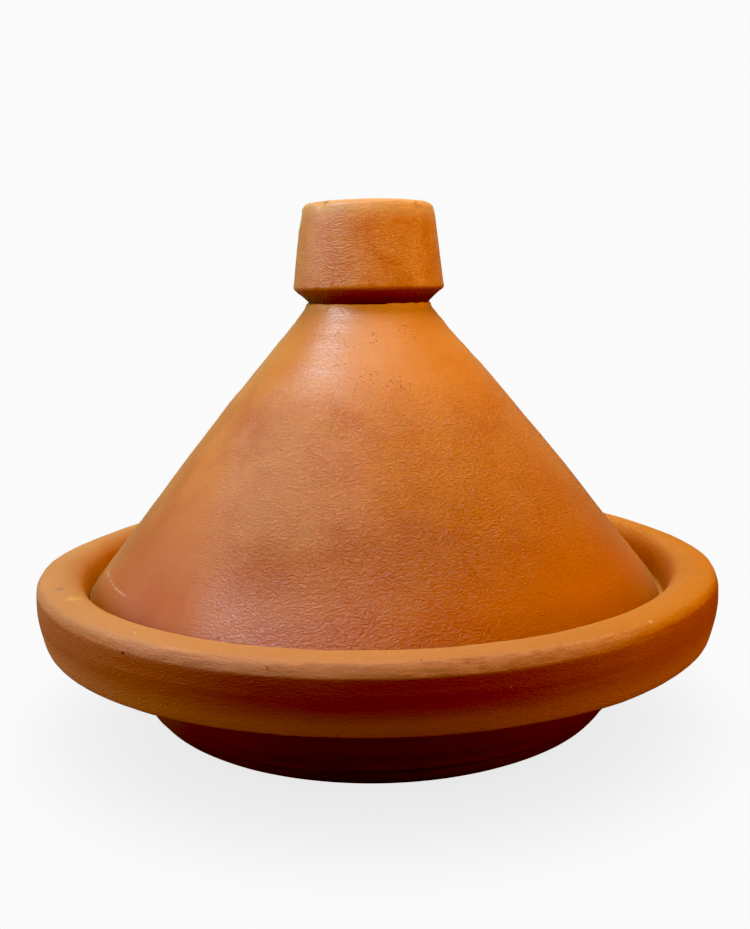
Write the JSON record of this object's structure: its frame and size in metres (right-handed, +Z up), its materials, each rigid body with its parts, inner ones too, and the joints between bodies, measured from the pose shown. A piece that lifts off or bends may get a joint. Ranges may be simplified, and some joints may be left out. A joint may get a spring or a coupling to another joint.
{
  "type": "tagine pot",
  "caption": "Unglazed terracotta tagine: a shallow dish with a heavy rim and a tall conical lid with a hollow-topped knob; the lid lifts off.",
  "frame": {"origin": "centre of the dish's flat foot, on the surface it stands on", "axes": "+Z up along the axis the pot was thrown about; X and Y are level, and -Y faces the front view"},
  "size_m": [0.3002, 0.3002, 0.2263],
  "materials": {
    "dish_clay": "unglazed, matt, fired terracotta",
    "lid_clay": "unglazed, matt, fired terracotta",
    "knob_clay": "unglazed, matt, fired terracotta"
  },
  "bodies": {
    "dish": {"cooking_dish": "dish_clay"},
    "lid": {"lid_cone": "lid_clay", "lid_knob": "knob_clay"}
  },
  "joints": [
    {"name": "lid_lift", "type": "slide", "parent": "dish", "child": "lid", "axis": [0, 0, 1], "range_m": [0, 0.15]}
  ]
}
